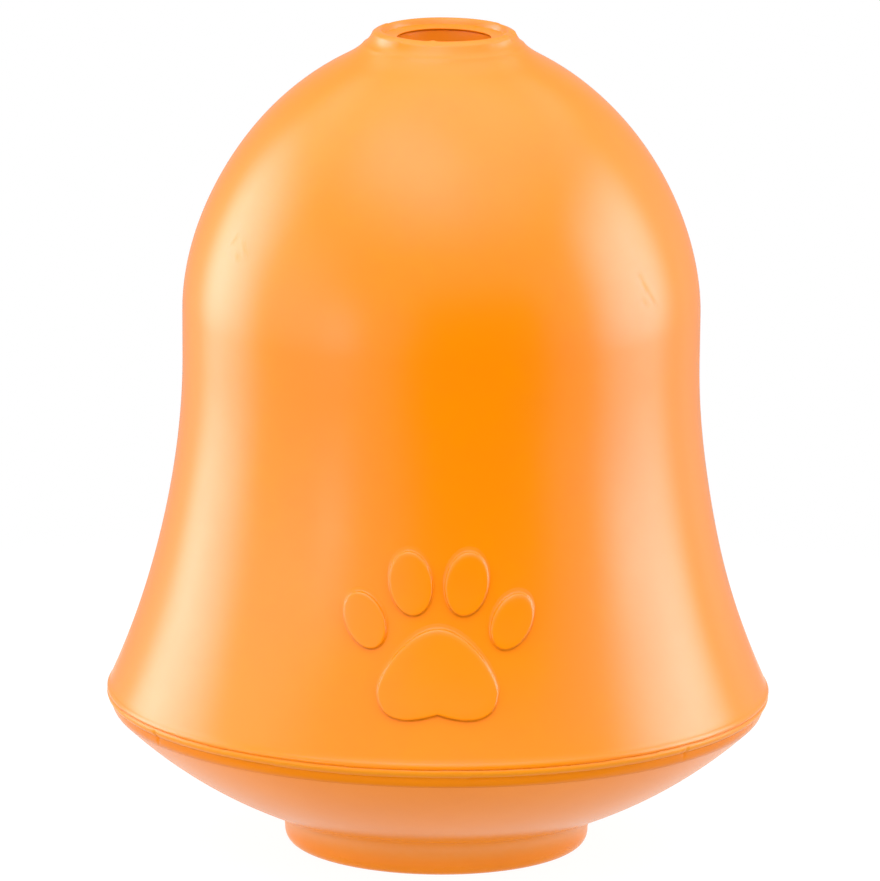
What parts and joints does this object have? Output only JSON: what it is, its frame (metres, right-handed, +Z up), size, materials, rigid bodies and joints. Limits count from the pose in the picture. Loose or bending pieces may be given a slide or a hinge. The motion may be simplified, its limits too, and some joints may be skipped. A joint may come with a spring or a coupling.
{
  "type": "treat dispensing dog toy",
  "caption": "Hollow bell-shaped rubber dog toy with a dished neck hole that lets treats in and out, bonded at the rim to a shallow dish on a ring foot.",
  "frame": {"origin": "centre of the plane that the ring foot rests on", "axes": "+Z up along the axis of the bell, towards the neck; -Y is the front, where the raised paw print is"},
  "size_m": [0.108, 0.108, 0.1344],
  "materials": {
    "bell_rubber": "satin moulded natural rubber, orange",
    "dish_rubber": "satin moulded natural rubber, orange",
    "bead_rubber": "trimmed bonding rubber, orange, matt"
  },
  "bodies": {
    "root": {"bell_shell": "bell_rubber", "base_dish": "dish_rubber", "seam_bead": "bead_rubber"}
  },
  "joints": []
}
